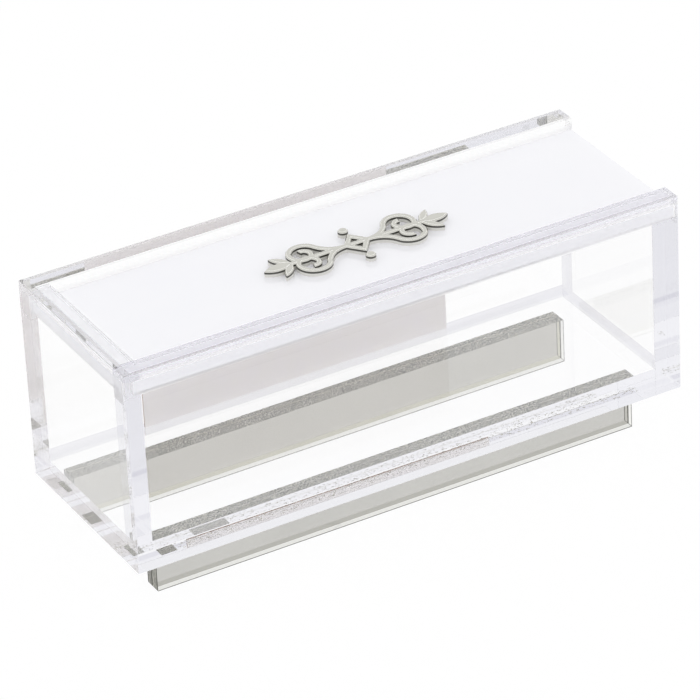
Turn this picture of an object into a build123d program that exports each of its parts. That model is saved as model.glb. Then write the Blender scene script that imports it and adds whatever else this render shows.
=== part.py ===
# Matchbox holder: a clear acrylic box with a white lid that slides in grooves and comes out at the right end.
# The box stands on two mirrored rails, and a striking strip is stuck to the outside of its back wall.
# X runs along the box, Y from front to back, Z up. The origin is the middle of the whole footprint,
# at the height of what the rails stand on.
import os

from build123d import *

os.makedirs("parts", exist_ok=True)

# Box
box_length = 140.0
box_width = 50.0
box_height = 50.0  # floor panel and walls together
sheet = 5.2  # thickness of the clear panels
edge_break = 0.15  # flat polished along the open edges of the clear panels

# Lid and the grooves that it slides in
lid_thickness = 3.0
lid_drop = 3.0  # from the top of the walls down to the top of the lid
groove_depth = 2.5
groove_clearance = 0.15  # above the lid and below it
lid_end_clearance = 0.2  # from the lid's edges to the ends of the grooves
lid_edge_break = 0.2

# Mirrored rails under the floor panel
rail_length = 123.5
rail_height = 11.2
rail_start = 7.7  # from the left end of the box
front_rail_inset = 7.2  # from the box's front face to the rail's
back_rail_inset = 6.5  # from the box's back face to the rail's
rail_face_thickness = 3.0  # clear layer in front of the mirror
rail_mirror_thickness = 0.1
rail_backing_thickness = 1.7

# Striking strip on the back wall
striker_length = 79.0
striker_height = 19.0
striker_start = 26.0  # from the left end of the box
striker_thickness = 0.4
striker_glue_thickness = 0.1

# Raised scroll ornament on the lid
ornament_length = 47.0
ornament_width = 15.0
ornament_thickness = 1.5
ornament_glue_thickness = 0.1
ornament_stroke = 1.4  # width of the scrolls and of the stem
ornament_edge_break = 0.3

# Places along the stem are shares of half the ornament's length, all else is shares of half its width
scroll_root_share = 0.13
scroll_radius_shares = (0.85, 0.47, 0.32, 0.22)  # the arcs of one scroll, from its root to its eye
scroll_turns = (66.0, -168.0, -150.0, -120.0)  # degrees, left turns positive
stem_end_share = 0.80
leaf_root_share = 0.70
middle_leaf_bulge_share = 0.20
side_leaf_tip_share = 0.86
side_leaf_reach_share = 0.58
side_leaf_bulge_share = 0.13
lozenge_length_share = 0.15
lozenge_width_share = 0.60
lozenge_hole_share = 0.50  # of the lozenge
pearl_place_share = 0.84
pearl_radius_share = 0.16

# Heights
floor_z = rail_height
floor_top_z = floor_z + sheet
wall_top_z = floor_z + box_height
lid_top_z = wall_top_z - lid_drop
lid_z = lid_top_z - lid_thickness
groove_z = lid_z - groove_clearance
groove_height = lid_thickness + 2 * groove_clearance

# Places along X and Y
striker_stack = striker_glue_thickness + striker_thickness
left_x = -box_length / 2
right_x = box_length / 2
front_y = -(box_width + striker_stack) / 2
back_y = front_y + box_width
middle_y = front_y + box_width / 2
inner_width = box_width - 2 * sheet

CORNER = (Align.MIN, Align.MIN, Align.MIN)


def panel(corner, size):
    """A rectangular panel from its lowest corner, added to the part being built."""
    with Locations(corner):
        Box(*size, align=CORNER)


def groove(corner, size):
    """A straight groove cut from the part being built, from its lowest corner."""
    with Locations(corner):
        Box(*size, align=CORNER, mode=Mode.SUBTRACT)


def edges_at(solid, axis, **places):
    """The edges of a part along one axis that lie on the named X, Y and Z places."""
    chosen = solid.edges().filter_by(axis)
    for name, place in places.items():
        chosen = chosen.filter_by(lambda e, n=name, p=place: abs(getattr(e.center(), n) - p) < edge_break)
    return chosen


# Clear floor panel, the full size of the box, with its lower edges and corners polished flat
with BuildPart() as floor_panel:
    panel((left_x, front_y, floor_z), (box_length, box_width, sheet))
    lower = floor_panel.faces().sort_by(Axis.Z)[0].edges()
    chamfer(floor_panel.edges().filter_by(Axis.Z) + lower, edge_break)
floor_panel.part.label = "floor_panel"

# Front wall, full length, standing on the floor panel, with the lid's groove in its inner face
groove_start_x = left_x + sheet - groove_depth
groove_length = right_x - groove_start_x
wall_height = wall_top_z - floor_top_z
with BuildPart() as front_wall:
    panel((left_x, front_y, floor_top_z), (box_length, sheet, wall_height))
    chamfer(
        edges_at(front_wall, Axis.X, Z=wall_top_z)
        + edges_at(front_wall, Axis.Y, Z=wall_top_z)
        + edges_at(front_wall, Axis.Z, Y=front_y),
        edge_break,
    )
    groove(
        (groove_start_x, front_y + sheet - groove_depth, groove_z),
        (groove_length, groove_depth, groove_height),
    )
front_wall.part.label = "front_wall"

# Back wall, the front wall's mirror image
with BuildPart() as back_wall:
    panel((left_x, back_y - sheet, floor_top_z), (box_length, sheet, wall_height))
    chamfer(
        edges_at(back_wall, Axis.X, Z=wall_top_z)
        + edges_at(back_wall, Axis.Y, Z=wall_top_z)
        + edges_at(back_wall, Axis.Z, Y=back_y),
        edge_break,
    )
    groove(
        (groove_start_x, back_y - sheet, groove_z),
        (groove_length, groove_depth, groove_height),
    )
back_wall.part.label = "back_wall"

# Left end wall between the two long walls, with a groove for the lid's end
with BuildPart() as left_end_wall:
    panel((left_x, front_y + sheet, floor_top_z), (sheet, inner_width, wall_height))
    chamfer(edges_at(left_end_wall, Axis.Y, Z=wall_top_z), edge_break)
    groove(
        (groove_start_x, front_y + sheet, groove_z),
        (groove_depth, inner_width, groove_height),
    )
left_end_wall.part.label = "left_end_wall"

# Right end wall, low enough for the lid to slide out over it
with BuildPart() as right_end_wall:
    panel((right_x - sheet, front_y + sheet, floor_top_z), (sheet, inner_width, groove_z - floor_top_z))
    chamfer(edges_at(right_end_wall, Axis.Y, Z=groove_z), edge_break)
right_end_wall.part.label = "right_end_wall"

# White lid, its edges in the three grooves and its right end flush with the box
lid_start_x = groove_start_x + lid_end_clearance
lid_length = right_x - lid_start_x
lid_width = inner_width + 2 * (groove_depth - lid_end_clearance)
with BuildPart() as lid:
    panel((lid_start_x, middle_y - lid_width / 2, lid_z), (lid_length, lid_width, lid_thickness))
    chamfer(lid.edges(), lid_edge_break)
lid.part.label = "lid"

# Outlines of the ornament's strokes, leaves and pearls, drawn about the middle of the lid
half_length = ornament_length / 2
half_width = ornament_width / 2
ornament_middle = Location((lid_start_x + lid_length / 2, middle_y))


def scroll_outline(end, side):
    """A scroll of tangent arcs that leaves the stem towards one end and winds up to one side."""
    start, direction = (end * scroll_root_share * half_length, 0), (end, 0)
    with BuildSketch(mode=Mode.PRIVATE) as outline:
        with BuildLine():
            for share, turn in zip(scroll_radius_shares, scroll_turns):
                arc = JernArc(start, direction, share * half_width, end * side * turn)
                start, direction = arc @ 1, arc % 1
        trace(line_width=ornament_stroke)
    return outline.sketch


def leaf_outline(root, tip, bulge):
    """A leaf with a point at its root and another at its tip."""
    with BuildSketch(mode=Mode.PRIVATE) as outline:
        with BuildLine():
            SagittaArc(root, tip, bulge)
            SagittaArc(tip, root, bulge)
        make_face()
    return outline.sketch


def stem_outline():
    """The straight stem that joins both ends."""
    with BuildSketch(mode=Mode.PRIVATE) as outline:
        Rectangle(2 * stem_end_share * half_length, ornament_stroke)
    return outline.sketch


def lozenge_outline():
    """The open lozenge in the middle."""
    across, up = lozenge_length_share * half_length, lozenge_width_share * half_width
    with BuildSketch(mode=Mode.PRIVATE) as outline:
        for scale, mode in ((1, Mode.ADD), (lozenge_hole_share, Mode.SUBTRACT)):
            with BuildLine():
                corners = [(across, 0), (0, up), (-across, 0), (0, -up)]
                Polyline([(x * scale, y * scale) for x, y in corners], close=True)
            make_face(mode=mode)
    return outline.sketch


def pearl_outline(side):
    """A round pearl beyond one corner of the lozenge."""
    with BuildSketch(mode=Mode.PRIVATE) as outline:
        with Locations((0, side * pearl_place_share * half_width)):
            Circle(pearl_radius_share * half_width)
    return outline.sketch


outlines = [stem_outline(), lozenge_outline()]
for side in (1, -1):
    outlines.append(pearl_outline(side))
    for end in (1, -1):
        side_leaf_tip = (end * side_leaf_tip_share * half_length, side * side_leaf_reach_share * half_width)
        side_leaf_root = (end * leaf_root_share * half_length, 0)
        outlines.append(scroll_outline(end, side))
        outlines.append(leaf_outline(side_leaf_root, side_leaf_tip, side_leaf_bulge_share * half_width))
for end in (1, -1):
    leaf_root, leaf_tip = (end * leaf_root_share * half_length, 0), (end * half_length, 0)
    outlines.append(leaf_outline(leaf_root, leaf_tip, middle_leaf_bulge_share * half_width))


def raised(outline, height, edge):
    """An outline at its place on the lid, standing up from height z = 0, with its upper edges taken off."""
    with BuildPart(mode=Mode.PRIVATE) as stroke:
        with BuildSketch():
            with Locations(ornament_middle):
                add(outline)
        extrude(amount=height)
        if edge:
            chamfer(stroke.faces().sort_by(Axis.Z)[-1].edges(), edge)
    return stroke.part


# Film of glue under the ornament
with BuildPart() as ornament_glue:
    with Locations((0, 0, lid_top_z)):
        for outline in outlines:
            add(raised(outline, ornament_glue_thickness, 0))
ornament_glue.part.label = "ornament_glue"

# The ornament itself, cut from silver sheet
with BuildPart() as lid_ornament:
    with Locations((0, 0, lid_top_z + ornament_glue_thickness)):
        for outline in outlines:
            add(raised(outline, ornament_thickness, ornament_edge_break))
lid_ornament.part.label = "lid_ornament"

# Striking strip on the back wall's outer face, standing on the level of the floor panel's top, and its glue
striker_x = left_x + striker_start
with BuildPart() as striker_glue:
    panel((striker_x, back_y, floor_top_z), (striker_length, striker_glue_thickness, striker_height))
striker_glue.part.label = "striker_glue"

with BuildPart() as striker_strip:
    panel(
        (striker_x, back_y + striker_glue_thickness, floor_top_z),
        (striker_length, striker_thickness, striker_height),
    )
striker_strip.part.label = "striker_strip"

# Two rails of three layers each, both with the mirror towards the front
rail_thickness = rail_face_thickness + rail_mirror_thickness + rail_backing_thickness
rail_x = left_x + rail_start
rail_starts = {
    "front_rail": front_y + front_rail_inset,
    "back_rail": back_y - back_rail_inset - rail_thickness,
}
rail_layers = {
    "face": rail_face_thickness,
    "mirror": rail_mirror_thickness,
    "backing": rail_backing_thickness,
}
rail_parts = []
for rail_name, rail_y in rail_starts.items():
    layer_y = rail_y
    for layer_name, layer_thickness in rail_layers.items():
        with BuildPart() as rail_layer:
            panel((rail_x, layer_y, 0), (rail_length, layer_thickness, rail_height))
        rail_layer.part.label = f"{rail_name}_{layer_name}"
        rail_parts.append(rail_layer.part)
        layer_y += layer_thickness

finished = [
    block.part
    for block in (
        floor_panel,
        front_wall,
        back_wall,
        left_end_wall,
        right_end_wall,
        lid,
        ornament_glue,
        lid_ornament,
        striker_glue,
        striker_strip,
    )
]
for piece in finished + rail_parts:
    export_step(piece, f"parts/{piece.label}.step")
    print(piece.label, piece.bounding_box())
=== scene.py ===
# %% [markdown]
# # A clear matchbox holder with a white sliding lid
#
# The real object is a small box of clear acrylic sheet, cemented at its edges. A white lid slides in
# grooves, two mirrored rails carry the box, and a striking strip is stuck to its back. The shapes come from
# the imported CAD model. This lesson gives them their finishes, a floor, a light and a camera.
#
# Clear acrylic has hardly any colour of its own. What the eye sees of it is its surroundings, bent and
# folded at its edges, so the joints and the studio matter here as much as the materials do.

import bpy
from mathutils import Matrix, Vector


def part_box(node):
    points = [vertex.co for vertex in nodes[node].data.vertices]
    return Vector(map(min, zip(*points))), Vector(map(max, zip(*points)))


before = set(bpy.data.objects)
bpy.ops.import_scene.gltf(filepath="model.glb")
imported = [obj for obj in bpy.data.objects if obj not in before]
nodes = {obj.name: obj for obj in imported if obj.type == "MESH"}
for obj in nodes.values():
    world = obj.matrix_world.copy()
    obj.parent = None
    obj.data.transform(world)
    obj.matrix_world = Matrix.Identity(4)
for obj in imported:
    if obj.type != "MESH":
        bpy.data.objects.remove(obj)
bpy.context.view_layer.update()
print("nodes:", ", ".join(sorted(nodes)))

# %% [markdown]
# Blender works in metres and in linear colour. Sizes here are written in millimetres and colours as the
# hex values that a colour picker shows, so each of the two has one place where it is converted.

# %% Millimetres and hex colours
import math

import bmesh
import bpy
from mathutils import Quaternion, Vector

MM = 0.001


def linear(colour):
    """An sRGB hex colour, such as "#F1F1F6", as the linear RGBA of Blender's sockets."""
    parts = [int(colour[i : i + 2], 16) / 255 for i in (1, 3, 5)]
    return [p / 12.92 if p <= 0.04045 else ((p + 0.055) / 1.055) ** 2.4 for p in parts] + [1.0]


# %% [markdown]
# A material is a small tree of nodes. The trees below are built with one helper, which adds a node, sets
# its properties and fills its sockets, either with a value or with another node's output.


# %% A helper that adds a node
def add(tree, kind, inputs, **settings):
    """Adds a shader node. A socket's value is a plain value or the output that feeds it."""
    node = tree.nodes.new("ShaderNode" + kind)
    for name, value in settings.items():
        setattr(node, name, value)
    for name, value in inputs.items():
        if isinstance(value, bpy.types.NodeSocket):
            tree.links.new(value, node.inputs[name])
        else:
            node.inputs[name].default_value = value
    return node


def new_tree(block):
    """The empty node tree of a material or a world."""
    block.use_nodes = True
    block.node_tree.nodes.clear()
    return block.node_tree


print("materials so far:", len(bpy.data.materials))

# %% [markdown]
# The camera stands where the photographer's stood: to the front left, looking down at about 31 degrees
# with a long lens. Placing it by eye would do for another object, but here the look of every edge depends
# on the angle. So its place was fitted to the box's outer corners, and the panels' edges land where the
# photograph has them.

# %% Camera
AZIMUTH = math.radians(-28.264)  # 0 looks along +Y
ELEVATION = math.radians(30.695)
ROLL = math.radians(-3.033)
DISTANCE = 1178.66 * MM
LOOKS_AT = Vector((5.498, 13.091, 23.808)) * MM
FOCAL_LENGTH = 266.293  # the camera's own unit is the millimetre
SENSOR_WIDTH = 36.0

forward = Vector(
    (
        -math.sin(AZIMUTH) * math.cos(ELEVATION),
        math.cos(AZIMUTH) * math.cos(ELEVATION),
        -math.sin(ELEVATION),
    )
)
camera = bpy.data.objects.new("camera", bpy.data.cameras.new("camera"))
camera.location = LOOKS_AT - forward * DISTANCE
camera.rotation_mode = "QUATERNION"
camera.rotation_quaternion = forward.to_track_quat("-Z", "Y") @ Quaternion((0, 0, 1), ROLL)
camera.data.lens = FOCAL_LENGTH
camera.data.sensor_width = SENSOR_WIDTH
scene = bpy.context.scene
scene.collection.objects.link(camera)
scene.camera = camera
print("camera at, mm:", [round(x / MM) for x in camera.location])

# %% [markdown]
# A ray that enters a sheet edge can cross the sheet a dozen times before it finds its way out. The usual
# limits on bounces would turn such places black, so they are raised. Blurring of sharp reflections is
# switched off, because it would soften what shows in the edges.

# %% Light paths long enough for thick acrylic
scene.view_settings.view_transform = "Standard"
scene.cycles.max_bounces = 64
scene.cycles.transmission_bounces = 48
scene.cycles.glossy_bounces = 48
scene.cycles.diffuse_bounces = 8
scene.cycles.blur_glossy = 0.0
print("transmission bounces:", scene.cycles.transmission_bounces)

# %% [markdown]
# The photograph was taken on a white sweep. Light comes evenly from all round, at strength 1, so that a
# colour renders about as it is written. The sweep is white to the camera and in what is seen through or
# reflected by the object, but it stays a real surface that keeps a soft shadow.
#
# Light that has been folded many times inside the acrylic arrives a little dimmer and cooler, which is why
# sheet edges look pale lavender against the white. The floor and the tent around it turn to such a colour
# as a ray's depth grows, the floor to a slightly darker one. A ray that has crossed two clear panels, which
# are four surfaces, still sees pure white, and so does light that a matte surface has scattered. A tint in
# the acrylic could give the lavender too, but it would also show in the large faces, which have none.

# %% Sweep colours
WHITE = "#FFFFFF"
FLOOR_FOLDED = "#E1E1E8"
TENT_FOLDED = "#F0F0F5"
CLEAR_SURFACES = 4.5  # surfaces that a ray may cross and still see white
FOLDED_SURFACES = 7.0


def seen_and_folded(tree, folded_colour):
    """Two outputs: 1 where the camera sees this, straight or by way of the object, and the colour."""
    path = add(tree, "LightPath", {})
    seen = path.outputs["Is Camera Ray"]
    for kind in ("Is Glossy Ray", "Is Transmission Ray"):
        seen = add(tree, "Math", {0: seen, 1: path.outputs[kind]}, operation="MAXIMUM").outputs[0]
    depth = {
        "Value": path.outputs["Ray Depth"],
        "From Min": CLEAR_SURFACES,
        "From Max": FOLDED_SURFACES,
    }
    folded = add(tree, "MapRange", depth)
    scatterings = {0: path.outputs["Diffuse Depth"], 1: path.outputs["Is Diffuse Ray"]}
    scattered = add(tree, "Math", scatterings, operation="ADD")
    unscattered = {0: 1.0, 1: scattered.outputs[0]}
    clean = add(tree, "Math", unscattered, operation="SUBTRACT", use_clamp=True)
    shown = add(tree, "Math", {0: folded.outputs[0], 1: clean.outputs[0]}, operation="MULTIPLY")
    colours = {"Factor": shown.outputs[0], 6: linear(WHITE), 7: linear(folded_colour)}
    return seen, add(tree, "Mix", colours, data_type="RGBA").outputs[2]


print("white up to, surfaces:", int(CLEAR_SURFACES))

# %% [markdown]
# The floor is a single square face, so large that no end of it shows. It could be left out, with the white
# of the world all round, but then the box would float without a shadow. Mixing a plain white emission with
# a lit white paper keeps both: nearly pure white, and a faint soft shadow.

# %% Floor
FLOOR_REACH = 3000 * MM  # from its middle to its sides
FLOOR_GAP = 0.05 * MM  # below the rails, so that the clear layer isn't wetted by the floor
SHADOWLESS_SHARE = 0.96  # of the floor as it is seen, the rest is lit and shadowed

floor_mesh = bpy.data.meshes.new("floor")
outline = bmesh.new()
bmesh.ops.create_grid(outline, x_segments=1, y_segments=1, size=FLOOR_REACH)
outline.to_mesh(floor_mesh)
outline.free()
floor = bpy.data.objects.new("floor", floor_mesh)
floor.location.z = -FLOOR_GAP
scene.collection.objects.link(floor)

floor_paper = bpy.data.materials.new("white_background_paper")
tree = new_tree(floor_paper)
seen, colour = seen_and_folded(tree, FLOOR_FOLDED)
lit = add(tree, "BsdfDiffuse", {"Color": linear(WHITE)})
bare = add(tree, "Emission", {"Color": colour})
share = add(tree, "Math", {0: seen, 1: SHADOWLESS_SHARE}, operation="MULTIPLY")
mixed = add(tree, "MixShader", {0: share.outputs[0], 1: lit.outputs[0], 2: bare.outputs[0]})
add(tree, "OutputMaterial", {"Surface": mixed.outputs[0]})
floor_mesh.materials.append(floor_paper)
print("floor reaches, mm:", round(FLOOR_REACH / MM))

# %% [markdown]
# The tent is the world itself. It lights the object from every side, as the paper and the soft boxes of a
# studio do. Lamps would draw their own sharp reflections in the acrylic, which the photograph doesn't have.
# Straight to the camera it is white. Only what the object shows of it may take the folded colour.

# %% Surroundings
world = bpy.data.worlds.new("white_tent")
scene.world = world
tree = new_tree(world)
seen, colour = seen_and_folded(tree, TENT_FOLDED)
path = add(tree, "LightPath", {})
straight = {0: seen, 1: path.outputs["Is Camera Ray"]}
by_way_of_object = add(tree, "Math", straight, operation="SUBTRACT")
colours = {"Factor": by_way_of_object.outputs[0], 6: linear(WHITE), 7: colour}
tent = add(tree, "Mix", colours, data_type="RGBA")
background = add(tree, "Background", {"Color": tent.outputs[2], "Strength": 1.0})
add(tree, "OutputWorld", {"Surface": background.outputs[0]})
print("tent strength:", background.inputs["Strength"].default_value)

# %% [markdown]
# **Clear acrylic** is cast sheet: perfectly smooth faces, a refractive index of 1.49 and next to no tint.
# Its edges were sawn and then polished, which leaves faint ripples that run across the thickness. They are
# what breaks the reflections in the edges into short dark and bright flecks. The ripples could be modelled,
# but they are a few thousandths of a millimetre deep, so a bump on the edge faces alone is enough.
#
# Three walls have a groove for the lid. It was routed and never polished, so it is matte, and the lid's
# margin looks soft through it. The front wall's top has a faint lavender rim, which is painted shade: the
# lid's edge in its groove, seen through the wall. A narrow band along the joints, on the outer faces of the
# back and the right end wall, is painted the same way, for the dim, cool tone that light takes after
# folding in the joints. None of these has a thickness to model. Masks worked out from a point's place in
# its panel put them where they belong.

# %% Where a wall is matte
FACES_ALONG = 0.5  # a face whose normal has more than this along an axis faces that way
OUTER_SKIN = 1.0 * MM  # no groove comes so near to a wall's outer face


def groove_mask(tree, where, thickness_axis, outer_face):
    """1 on the faces of the groove that a wall has for the lid."""
    lid_low, lid_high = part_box("lid")
    level = {0: where.outputs["Z"], 1: (lid_low.z + lid_high.z) / 2, 2: lid_high.z - lid_low.z}
    beside_lid = add(tree, "Math", level, operation="COMPARE")
    depth = {0: where.outputs[thickness_axis], 1: outer_face}
    from_outside = add(tree, "Math", depth, operation="SUBTRACT")
    distance = add(tree, "Math", {0: from_outside.outputs[0]}, operation="ABSOLUTE")
    inside = add(tree, "Math", {0: distance.outputs[0], 1: OUTER_SKIN}, operation="GREATER_THAN")
    both = {0: beside_lid.outputs[0], 1: inside.outputs[0]}
    return add(tree, "Math", both, operation="MULTIPLY").outputs[0]


print("outer skin, mm:", round(OUTER_SKIN / MM, 2))

# %% Where a wall is painted with shade
JOINT_SHADE_HEIGHT = 1.3 * MM  # how far the painted shade reaches out of a joint
RIM_HEIGHT = 1.5 * MM
PAINTED_SHADE_TINTS = {"rim": "#EFEEF4", "joints": "#D9D8E0"}  # painted shade: what clear white turns to there


def painted_shade_mask(tree, where, flat, panel, thickness_axis, shade_band):
    """1 where shade is painted: on a wall's rim, or on its outer face along the joints."""
    low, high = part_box(panel)
    if shade_band == "rim":
        rim = {0: where.outputs["Z"], 1: high.z - RIM_HEIGHT}
        return add(tree, "Math", rim, operation="GREATER_THAN").outputs[0]
    lowest = {0: where.outputs["Z"], 1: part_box("floor_panel")[1].z + JOINT_SHADE_HEIGHT}
    shaded_band = add(tree, "Math", lowest, operation="LESS_THAN").outputs[0]
    if thickness_axis == 0:  # the right end wall also has an upright joint, with the back wall
        beside_back = {0: where.outputs["Y"], 1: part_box("back_wall")[0].y - JOINT_SHADE_HEIGHT}
        upright = add(tree, "Math", beside_back, operation="GREATER_THAN")
        shaded_band = add(tree, "Math", {0: shaded_band, 1: upright.outputs[0]}, operation="MAXIMUM").outputs[0]
    middle = (low[thickness_axis] + high[thickness_axis]) / 2
    outer = {0: where.outputs[thickness_axis], 1: middle}
    outer_half = add(tree, "Math", outer, operation="GREATER_THAN")
    face = add(tree, "Math", {0: flat, 1: FACES_ALONG}, operation="GREATER_THAN")
    both = {0: outer_half.outputs[0], 1: face.outputs[0]}
    outer_face = add(tree, "Math", both, operation="MULTIPLY")
    return add(tree, "Math", {0: shaded_band, 1: outer_face.outputs[0]}, operation="MULTIPLY").outputs[0]


print("haze along the joints, mm:", round(JOINT_SHADE_HEIGHT / MM, 2))

# %% Saw marks
SAW_MARK_SPACING = 1.6 * MM
SAW_MARK_LENGTH = 9.0 * MM
SAW_MARK_DEPTH = 0.002 * MM


def saw_marks(tree, place, thickness_axis):
    """Two outputs: a normal that ripples on a sheet's edges, and 1 on the sheet's large faces."""
    spacing = [1 / SAW_MARK_SPACING] * 3
    spacing[thickness_axis] = 1 / SAW_MARK_LENGTH
    along = add(tree, "Mapping", {"Vector": place.outputs["Object"], "Scale": spacing})
    ripples = add(tree, "TexNoise", {"Vector": along.outputs[0], "Scale": 1.0, "Detail": 1.0})
    facing = add(tree, "SeparateXYZ", {0: place.outputs["Normal"]})
    flat = add(tree, "Math", {0: facing.outputs[thickness_axis]}, operation="ABSOLUTE").outputs[0]
    edge = add(tree, "Math", {0: 1.0, 1: flat}, operation="SUBTRACT")
    height = add(tree, "Math", {0: ripples.outputs[0], 1: edge.outputs[0]}, operation="MULTIPLY")
    bump = add(tree, "Bump", {"Height": height.outputs[0], "Distance": SAW_MARK_DEPTH})
    return bump.outputs[0], flat


print("saw marks every, mm:", round(SAW_MARK_SPACING / MM, 2))

# %% Clear cast acrylic
ACRYLIC_IOR = 1.49
GROOVE_ROUGHNESS = 0.4


def clear_acrylic(panel, thickness_axis, outer=0, routed=False, shade_band=None):
    """Clear sheet, its thickness along axis 0, 1 or 2 and its outer face on side -1 or 1 of it."""
    material = bpy.data.materials.new("clear_cast_acrylic_" + panel)
    tree = new_tree(material)
    place = add(tree, "TexCoord", {})
    rippled, flat = saw_marks(tree, place, thickness_axis)
    surface = {
        "Base Color": linear(WHITE),
        "Roughness": 0.0,
        "IOR": ACRYLIC_IOR,
        "Transmission Weight": 1.0,
        "Normal": rippled,
    }
    where = add(tree, "SeparateXYZ", {0: place.outputs["Object"]})
    if shade_band:
        shaded_band = painted_shade_mask(tree, where, flat, panel, thickness_axis, shade_band)
        # painted shade: the rim and the joints turn a little lavender
        colours = {"Factor": shaded_band, 6: linear(WHITE), 7: linear(PAINTED_SHADE_TINTS[shade_band])}
        surface["Base Color"] = add(tree, "Mix", colours, data_type="RGBA").outputs[2]
    if routed:
        low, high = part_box(panel)
        outer_face = (low if outer < 0 else high)[thickness_axis]
        matte = groove_mask(tree, where, thickness_axis, outer_face)
        rough = add(tree, "Math", {0: matte, 1: GROOVE_ROUGHNESS}, operation="MULTIPLY")
        surface["Roughness"] = rough.outputs[0]
    glass = add(tree, "BsdfPrincipled", surface)
    add(tree, "OutputMaterial", {"Surface": glass.outputs[0]})
    return material


clear_sheets = {
    "floor_panel": clear_acrylic("floor_panel", 2),
    "front_wall": clear_acrylic("front_wall", 1, -1, routed=True, shade_band="rim"),
    "back_wall": clear_acrylic("back_wall", 1, 1, routed=True, shade_band="joints"),
    "left_end_wall": clear_acrylic("left_end_wall", 0, -1, routed=True),
    "right_end_wall": clear_acrylic("right_end_wall", 0, 1, shade_band="joints"),
}
print("clear panels:", len(clear_sheets))

# %% [markdown]
# The panels are joined with solvent cement, which softens both faces until they are one piece of plastic.
# Light passes such a joint as if it weren't there. In the model the two faces only touch, and a ray that
# leaves one sheet at a flat angle would be thrown back before it enters the next. Growing each clear panel
# by a hundredth of a millimetre makes neighbours overlap by a hair, so the ray is inside the next sheet
# before it leaves the first. The corners are welded first, so that the grown faces stay closed.
#
# The rails were stuck on with less care, and most of their upper faces have a hair of air over them. It
# throws light that meets it at a flat angle back up, which gives the pale bands in the floor panel's front
# edge. So the clear layer and the backing of each rail shrink a little, and the mirror film between them
# grows, to stay pressed into both.

# %% Cemented joints
WELD_DISTANCE = 0.001 * MM
CEMENT_OVERLAP = 0.01 * MM
RAIL_CLEARANCE = 0.05 * MM
FILM_OVERLAP = 0.06 * MM
RAILS = ("front_rail", "back_rail")

growth = {name: CEMENT_OVERLAP for name in clear_sheets}
for rail in RAILS:
    growth[rail + "_face"] = -RAIL_CLEARANCE
    growth[rail + "_mirror"] = FILM_OVERLAP
    growth[rail + "_backing"] = -RAIL_CLEARANCE
for name, amount in growth.items():
    weld = nodes[name].modifiers.new("weld", "WELD")
    weld.merge_threshold = WELD_DISTANCE
    grow = nodes[name].modifiers.new("cement", "DISPLACE")
    grow.strength = amount
    grow.mid_level = 0.0
print("grown or shrunk by a hair:", len(growth))

# %% [markdown]
# Where cement did run between the floor panel and a rail, the rail's dusty top, with its painted shade,
# shows at flat angles too: as dark blocks at the left end of the floor panel, and as small pale spots over
# both rails. The film of cement could be modelled, but it is only a few hundredths of a millimetre thick.
# Here it is painted on the floor panel's lower face instead, as an opaque shader that is mixed into the
# clear one over the rails.

# %% Dust and painted shade
DUST = 0.34 * MM  # real dust is finer and wouldn't show
# The dark grey is painted shade: the shade under a rail, which shows through its clear layer. The pale
# grains are dust and bubbles.
DARK_DUST_AND_SHADE, PALE_DUST = "#5C5B54", "#D2D1C8"
DARK_LEVEL, PALE_LEVEL = 0.47, 0.57  # of the noise, close together so that the grains have edges


def dust_and_shade_colour(tree, place):
    """Grey sawdust and tiny bubbles, on a dark grey that is painted shade."""
    dust = add(tree, "TexNoise", {"Vector": place.outputs["Object"], "Scale": 1 / DUST, "Detail": 2.0})
    grains = {"Value": dust.outputs[0], "From Min": DARK_LEVEL, "From Max": PALE_LEVEL}
    level = add(tree, "MapRange", grains)
    colours = {"Factor": level.outputs[0], 6: linear(DARK_DUST_AND_SHADE), 7: linear(PALE_DUST)}
    return add(tree, "Mix", colours, data_type="RGBA").outputs[2]


print("dust, mm:", round(DUST / MM, 2))

# %% Where cement has run over a rail
RUNS = {  # from and to, in mm from a rail's left end
    "front_rail": [(0.0, 4.0)],
    "back_rail": [(0.0, 4.5), (17.0, 26.0)],
}
CEMENT_SPOT = 0.6 * MM
SPOT_LEVEL = 0.6  # noise above this is a spot
UNDERSIDE = 0.1 * MM  # what is so near to the floor panel's lower face belongs to it


def cement_masks(tree, place, rail):
    """Two outputs: 1 where there is cement over a rail, and 1 where it has run all the way."""
    where = add(tree, "SeparateXYZ", {0: place.outputs["Object"]})
    low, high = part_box(rail + "_face")
    other_low, other_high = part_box(rail + "_backing")
    start, stop = min(low.y, other_low.y), max(high.y, other_high.y)
    runs = 0.0
    for first, last in RUNS[rail]:
        span = {0: where.outputs["X"], 1: low.x + (first + last) / 2 * MM, 2: (last - first) / 2 * MM}
        run = add(tree, "Math", span, operation="COMPARE")
        runs = add(tree, "Math", {0: runs, 1: run.outputs[0]}, operation="MAXIMUM").outputs[0]
    spots = add(tree, "TexNoise", {"Vector": place.outputs["Object"], "Scale": 1 / CEMENT_SPOT})
    spot = add(tree, "Math", {0: spots.outputs[0], 1: SPOT_LEVEL}, operation="GREATER_THAN")
    wet = add(tree, "Math", {0: spot.outputs[0], 1: runs}, operation="MAXIMUM").outputs[0]
    spans = {  # a middle and a half width along each axis
        "X": ((low.x + high.x) / 2, (high.x - low.x) / 2),
        "Y": ((start + stop) / 2, (stop - start) / 2),
        "Z": (high.z, UNDERSIDE),
    }
    for axis, (centre, half) in spans.items():
        inside = add(tree, "Math", {0: where.outputs[axis], 1: centre, 2: half}, operation="COMPARE")
        wet = add(tree, "Math", {0: wet, 1: inside.outputs[0]}, operation="MULTIPLY").outputs[0]
    return wet, runs


print("cement spots, mm:", round(CEMENT_SPOT / MM, 2))

# %% Cement over the rails
PALE_SPOT = "#B4B2A8"

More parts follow.
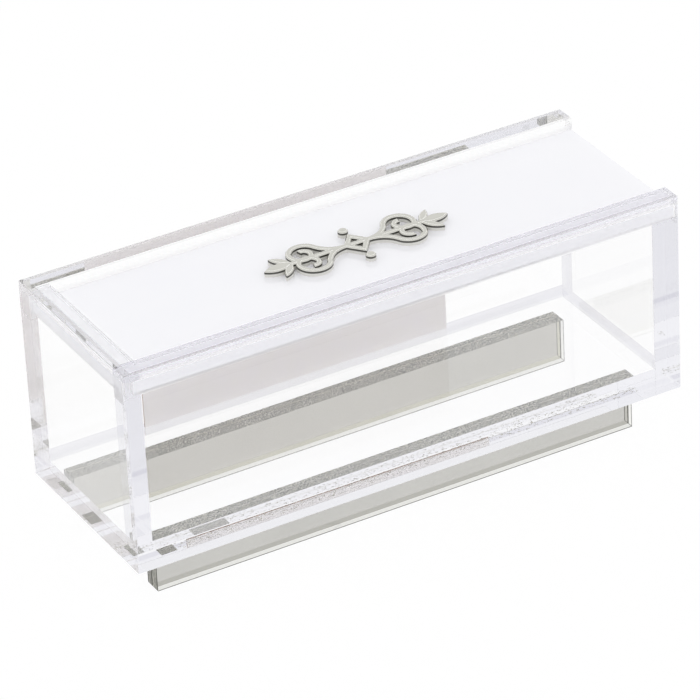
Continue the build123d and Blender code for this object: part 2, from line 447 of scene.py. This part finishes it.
tree = clear_sheets["floor_panel"].node_tree
surface_socket = tree.nodes["Material Output"].inputs["Surface"]
place = add(tree, "TexCoord", {})
dust_and_shade = dust_and_shade_colour(tree, place)
for rail in RAILS:
    wet, runs = cement_masks(tree, place, rail)
    colours = {"Factor": runs, 6: linear(PALE_SPOT), 7: dust_and_shade}
    colour = add(tree, "Mix", colours, data_type="RGBA")
    cement = add(tree, "BsdfPrincipled", {"Base Color": colour.outputs[2], "Roughness": 0.6})
    clear = surface_socket.links[0].from_socket
    mixed = add(tree, "MixShader", {0: wet, 1: clear, 2: cement.outputs[0]})
    tree.links.new(mixed.outputs[0], surface_socket)
print("runs of cement:", sum(len(runs) for runs in RUNS.values()))

# %% [markdown]
# ** White acrylic** for the lid is the same plastic filled with a white pigment: fully opaque, glossy from
# casting, and very slightly blue. A glossy coat over one plain colour would do, but it looks like paint. A
# little subsurface scattering lets light soak in, as it does in the real sheet, and a slow change of colour
# keeps the large face from being dead even. Its sawn edges are painted a shade greyer: painted shade, as
# they sit in the grooves and get less light than the top.

# %% White cast acrylic
PIGMENT_CLOUD = 18.0 * MM
SOAKING_DEPTH = 1.5 * MM

white_acrylic = bpy.data.materials.new("white_cast_acrylic")
tree = new_tree(white_acrylic)
place = add(tree, "TexCoord", {})
cloud = add(tree, "TexNoise", {"Vector": place.outputs["Object"], "Scale": 1 / PIGMENT_CLOUD})
colours = {"Factor": cloud.outputs[0], 6: linear("#F4F4FA"), 7: linear("#F8F8FC")}
pigment = add(tree, "Mix", colours, data_type="RGBA")
facing = add(tree, "SeparateXYZ", {0: place.outputs["Normal"]})
level_face = add(tree, "Math", {0: facing.outputs["Z"]}, operation="ABSOLUTE")
# painted shade: faces that aren't level turn to the greyer edge colour
colours = {"Factor": level_face.outputs[0], 6: linear("#EFEFF4"), 7: pigment.outputs[2]}
sheet = add(tree, "Mix", colours, data_type="RGBA")
surface = {
    "Base Color": sheet.outputs[2],
    "Roughness": 0.12,
    "IOR": ACRYLIC_IOR,
    "Subsurface Weight": 0.3,
    "Subsurface Radius": (1.0, 1.0, 1.0),
    "Subsurface Scale": SOAKING_DEPTH,
}
gloss = add(tree, "BsdfPrincipled", surface)
add(tree, "OutputMaterial", {"Surface": gloss.outputs[0]})
print("white acrylic:", white_acrylic.name)

# %% [markdown]
# ** Silver mirror acrylic** makes the ornament: plastic with a metal film, cut out and set on a pale foam
# pad. From above it is a slightly warm silver, and its softened arrises are painted paler: a painted
# highlight. Its cut edge is dark over the pad, and that dark line outlines every stroke against the white
# lid.
# The arrises could be rounded in the mesh. A Bevel node rounds their normals without more faces, and tells
# where to paint the highlight.

# %% Top, cut edge and pad of the ornament
PAD_HEIGHT = 0.7 * MM

silver_acrylic = bpy.data.materials.new("silver_mirror_acrylic")
tree = new_tree(silver_acrylic)
place = add(tree, "TexCoord", {})
height = add(tree, "SeparateXYZ", {0: place.outputs["Object"]})
facing = add(tree, "SeparateXYZ", {0: place.outputs["Normal"]})
upward = add(tree, "Math", {0: facing.outputs["Z"], 1: FACES_ALONG}, operation="GREATER_THAN")
pad_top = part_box("lid_ornament")[0].z + PAD_HEIGHT
pad = add(tree, "Math", {0: height.outputs["Z"], 1: pad_top}, operation="LESS_THAN")
print("pad under the silver up to, mm:", round(pad_top / MM, 2))

# %% Softened arrises and their painted highlight
ARRIS = 0.25 * MM
LEVEL_COSINE, ARRIS_COSINE = 0.999, 0.93  # between the rounded and the true normal

rounded = add(tree, "Bevel", {"Radius": ARRIS})
true_face = add(tree, "NewGeometry", {})
turned = {0: rounded.outputs[0], 1: true_face.outputs["Normal"]}
alike = add(tree, "VectorMath", turned, operation="DOT_PRODUCT")
level = {"Value": alike.outputs["Value"], "From Min": LEVEL_COSINE, "From Max": ARRIS_COSINE}
arris_highlight = add(tree, "MapRange", level)
# painted highlight: the arrises turn to the paler silver
colours = {"Factor": arris_highlight.outputs[0], 6: linear("#CFCEC7"), 7: linear("#F6F6F2")}
face = add(tree, "Mix", colours, data_type="RGBA")
print("arrises, mm:", round(ARRIS / MM, 2))

# %% Silver mirror acrylic
SILVER_RIPPLE = 1.2 * MM
SILVER_RIPPLE_HEIGHT = 0.05 * MM

ripple = add(tree, "TexNoise", {"Vector": place.outputs["Object"], "Scale": 1 / SILVER_RIPPLE})
bump = {"Height": ripple.outputs[0], "Distance": SILVER_RIPPLE_HEIGHT, "Normal": rounded.outputs[0]}
silver = {
    "Base Color": face.outputs[2],
    "Metallic": 1.0,
    "Roughness": 0.12,
    "Normal": add(tree, "Bump", bump).outputs[0],
}
film = add(tree, "BsdfPrincipled", silver)
colours = {"Factor": pad.outputs[0], 6: linear("#4A4943"), 7: linear("#D9D8D2")}
edge_colour = add(tree, "Mix", colours, data_type="RGBA")
cut_edge = add(tree, "BsdfPrincipled", {"Base Color": edge_colour.outputs[2], "Roughness": 0.35})
mixed = add(tree, "MixShader", {0: upward.outputs[0], 1: cut_edge.outputs[0], 2: film.outputs[0]})
add(tree, "OutputMaterial", {"Surface": mixed.outputs[0]})
print("ripples in the silver, mm:", round(SILVER_RIPPLE / MM, 2))

# %% [markdown]
# **The striking strip** is thin card with a gritty coating. Seen through the clear back wall, its gummed
# side shows: a pale, faintly pink film with a few brown specks. The coated side, on the outside, is a
# darker warm brown with a fine grit that catches the light. Grit and specks could be scattered as meshes,
# but from arm's length only their colour and a little roughness can be told, and a bump gives that.

# %% Gummed side of the striking strip
BLOTCH = 5.0 * MM
SPECK_SPACING = 8.0 * MM
SPECK_RADIUS = 0.55 * MM
SPECK_CORE = 0.4  # of the radius, fully brown

gummed_film = bpy.data.materials.new("gummed_film")
tree = new_tree(gummed_film)
place = add(tree, "TexCoord", {})
blotches = add(tree, "TexNoise", {"Vector": place.outputs["Object"], "Scale": 1 / BLOTCH})
colours = {"Factor": blotches.outputs[0], 6: linear("#EBE7EB"), 7: linear("#ECE9E6")}
ground = add(tree, "Mix", colours, data_type="RGBA")
specks = add(tree, "TexVoronoi", {"Vector": place.outputs["Object"], "Scale": 1 / SPECK_SPACING})
size = {
    "Value": specks.outputs["Distance"],
    "From Min": SPECK_RADIUS / SPECK_SPACING,
    "From Max": SPECK_CORE * SPECK_RADIUS / SPECK_SPACING,
}
speck = add(tree, "MapRange", size)
colours = {"Factor": speck.outputs[0], 6: ground.outputs[2], 7: linear("#A98F82")}
speckled = add(tree, "Mix", colours, data_type="RGBA")
film = add(tree, "BsdfPrincipled", {"Base Color": speckled.outputs[2], "Roughness": 0.5})
add(tree, "OutputMaterial", {"Surface": film.outputs[0]})
print("specks every, mm:", round(SPECK_SPACING / MM))

# %% Coated side of the striking strip
GRIT = 0.35 * MM  # real grit is finer and wouldn't show
GRIT_HEIGHT = 0.06 * MM

striking_paper = bpy.data.materials.new("coated_striking_paper")
tree = new_tree(striking_paper)
place = add(tree, "TexCoord", {})
grit = add(tree, "TexNoise", {"Vector": place.outputs["Object"], "Scale": 1 / GRIT, "Detail": 3.0})
colours = {"Factor": grit.outputs[0], 6: linear("#7E675D"), 7: linear("#B39C90")}
coating = add(tree, "Mix", colours, data_type="RGBA")
bump = add(tree, "Bump", {"Height": grit.outputs[0], "Distance": GRIT_HEIGHT})
surface = {
    "Base Color": coating.outputs[2],
    "Roughness": 0.85,
    "Normal": bump.outputs[0],
}
coated = add(tree, "BsdfPrincipled", surface)
add(tree, "OutputMaterial", {"Surface": coated.outputs[0]})
print("grit, mm:", round(GRIT / MM, 2))

# %% [markdown]
# ** The rails** are mirror acrylic again, 4.8 mm thick: a clear layer in front, the mirror film, and a
# painted backing. They were only sawn. Their cut faces are grey with dust and tiny bubbles, on a dark grey
# that is painted shade: the shade under the rail, which the clear layer shows. They are darker along the
# borders, where film and paint were torn, and along the lowest edge, where the dark line is painted shade
# where the rail stands on the floor.
#
# From within the clear layer a sawn face looks different: light comes in through it, so the face that the
# rail stands on glows white over the floor and makes the pale stripe along the foot of the mirror. The
# Backfacing output tells whether a face is seen from inside. There a translucent shader takes over. One
# frosted glass for both sides would be simpler, but rough glass before a mirror is slow to lose its noise.

# %% Cut faces of a rail
TORN_BORDER = 0.5 * MM
# The dark line along the foot of each rail is painted shade, where it stands on the floor.
FOOT_SHADE_HEIGHT = 0.2 * MM
TORN_AND_FOOT_SHADE = "#55544D"


def sawn_faces_and_foot_shade(tree, place, layer):
    """Three outputs: 1 on the cut faces and the lowest edge, their colour, and 1 on the torn borders and
    the painted shade along the foot.
    """
    low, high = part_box(layer)
    where = add(tree, "SeparateXYZ", {0: place.outputs["Object"]})
    facing = add(tree, "SeparateXYZ", {0: place.outputs["Normal"]})
    sideways = add(tree, "Math", {0: facing.outputs["Y"]}, operation="ABSOLUTE")
    cut = add(tree, "Math", {0: sideways.outputs[0], 1: FACES_ALONG}, operation="LESS_THAN")
    lowest = add(tree, "Math", {0: where.outputs["Z"], 1: low.z + FOOT_SHADE_HEIGHT}, operation="LESS_THAN")
    seen_from = add(tree, "NewGeometry", {})
    line = {0: lowest.outputs[0], 1: seen_from.outputs["Backfacing"]}
    outer_line = add(tree, "Math", line, operation="SUBTRACT", use_clamp=True)
    opaque = add(tree, "Math", {0: cut.outputs[0], 1: outer_line.outputs[0]}, operation="MAXIMUM")

    across = add(tree, "Math", {0: where.outputs["Y"], 1: (low.y + high.y) / 2}, operation="SUBTRACT")
    off_middle = add(tree, "Math", {0: across.outputs[0]}, operation="ABSOLUTE")
    inner_half = (high.y - low.y) / 2 - TORN_BORDER
    border = add(tree, "Math", {0: off_middle.outputs[0], 1: inner_half}, operation="GREATER_THAN")
    border_and_foot = add(tree, "Math", {0: border.outputs[0], 1: lowest.outputs[0]}, operation="MAXIMUM")
    up_or_down = add(tree, "Math", {0: facing.outputs["Z"]}, operation="ABSOLUTE")
    level_face = add(tree, "Math", {0: up_or_down.outputs[0], 1: FACES_ALONG}, operation="GREATER_THAN")
    upright = {0: border_and_foot.outputs[0], 1: level_face.outputs[0]}
    torn_and_foot_shade = add(tree, "Math", upright, operation="SUBTRACT", use_clamp=True)
    colours = {"Factor": torn_and_foot_shade.outputs[0], 6: dust_and_shade_colour(tree, place), 7: linear(TORN_AND_FOOT_SHADE)}
    colour = add(tree, "Mix", colours, data_type="RGBA")
    return opaque.outputs[0], colour.outputs[2], torn_and_foot_shade.outputs[0]


print("torn border, mm:", round(TORN_BORDER / MM, 2))


# %% Clear layer of a rail
def rail_clear_acrylic(layer):
    """Clear and glossy in front, sawn everywhere else."""
    material = bpy.data.materials.new("sawn_clear_acrylic_" + layer)
    tree = new_tree(material)
    place = add(tree, "TexCoord", {})
    opaque, colour, torn_and_foot_shade = sawn_faces_and_foot_shade(tree, place, layer)
    surface = {
        "Base Color": linear(WHITE),
        "Roughness": 0.0,
        "IOR": ACRYLIC_IOR,
        "Transmission Weight": 1.0,
    }
    glass = add(tree, "BsdfPrincipled", surface)
    outside = add(tree, "BsdfPrincipled", {"Base Color": colour, "Roughness": 0.6})
    # the torn borders, and the painted shade along the foot, darken it from inside too
    colours = {"Factor": torn_and_foot_shade, 6: linear("#FFFFFB"), 7: linear("#6A6963")}
    glow = add(tree, "Mix", colours, data_type="RGBA")
    inside = add(tree, "BsdfTranslucent", {"Color": glow.outputs[2]})
    seen_from = add(tree, "NewGeometry", {})
    sawn = {0: seen_from.outputs["Backfacing"], 1: outside.outputs[0], 2: inside.outputs[0]}
    cut_face = add(tree, "MixShader", sawn)
    mixed = add(tree, "MixShader", {0: opaque, 1: glass.outputs[0], 2: cut_face.outputs[0]})
    add(tree, "OutputMaterial", {"Surface": mixed.outputs[0]})
    return material


rail_layers = {rail + "_face": rail_clear_acrylic(rail + "_face") for rail in RAILS}
print("clear layers:", ", ".join(rail_layers))


# %% Painted backing of a rail
def rail_backing_paint(layer):
    """Pale paint on the back, sawn everywhere else."""
    material = bpy.data.materials.new("sawn_painted_backing_" + layer)
    tree = new_tree(material)
    place = add(tree, "TexCoord", {})
    opaque, sawn, _ = sawn_faces_and_foot_shade(tree, place, layer)
    colours = {"Factor": opaque, 6: linear("#E4E3DF"), 7: sawn}
    colour = add(tree, "Mix", colours, data_type="RGBA")
    paint = add(tree, "BsdfPrincipled", {"Base Color": colour.outputs[2], "Roughness": 0.5})
    add(tree, "OutputMaterial", {"Surface": paint.outputs[0]})
    return material


for rail in RAILS:
    rail_layers[rail + "_backing"] = rail_backing_paint(rail + "_backing")
print("with the backings:", len(rail_layers))

# %% [markdown]
# ** The mirror film** is vacuum-deposited metal. A perfect mirror would show the studio's white at full
# strength. Here the film swallows about two fifths of it: part of that is the real film's loss, and the
# rest is a painted reflection of surroundings greyer than the white studio. It also has a slight, uneven
# tarnish. A picture of a tarnished mirror could give that, but a slow noise needs no picture. The back
# rail's film is a little paler and warmer than the front rail's.

# %% Mirror film
TARNISH = 20.0 * MM


def mirror_film(layer, dark, pale):
    """Silver film, a little uneven with age."""
    material = bpy.data.materials.new("silver_mirror_film_" + layer)
    tree = new_tree(material)
    place = add(tree, "TexCoord", {})
    tarnish = add(tree, "TexNoise", {"Vector": place.outputs["Object"], "Scale": 1 / TARNISH})
    colours = {"Factor": tarnish.outputs[0], 6: linear(dark), 7: linear(pale)}
    silver = add(tree, "Mix", colours, data_type="RGBA")
    surface = {"Base Color": silver.outputs[2], "Metallic": 1.0, "Roughness": 0.04}
    film = add(tree, "BsdfPrincipled", surface)
    add(tree, "OutputMaterial", {"Surface": film.outputs[0]})
    return material


# Both films are painted darker than real film, in part as a painted reflection of greyer surroundings.
rail_layers["front_rail_mirror"] = mirror_film("front_rail_mirror", "#C2C1BD", "#CDCCC8")
rail_layers["back_rail_mirror"] = mirror_film("back_rail_mirror", "#D1CFC2", "#DCDACD")
print("tarnish, mm:", round(TARNISH / MM))

# %% [markdown]
# Each piece of the CAD model is one real piece of one material, so the finishes are handed out by name. The
# pieces keep the shape and place that the CAD gave them.

# %% Give every piece its finish
finishes = {
    **clear_sheets,
    **rail_layers,
    "lid": white_acrylic,
    "lid_ornament": silver_acrylic,
    "ornament_glue": gummed_film,
    "striker_glue": gummed_film,
    "striker_strip": striking_paper,
}
for name, material in finishes.items():
    nodes[name].data.materials.clear()
    nodes[name].data.materials.append(material)
print("pieces without a finish:", sorted(set(nodes) - set(finishes)))
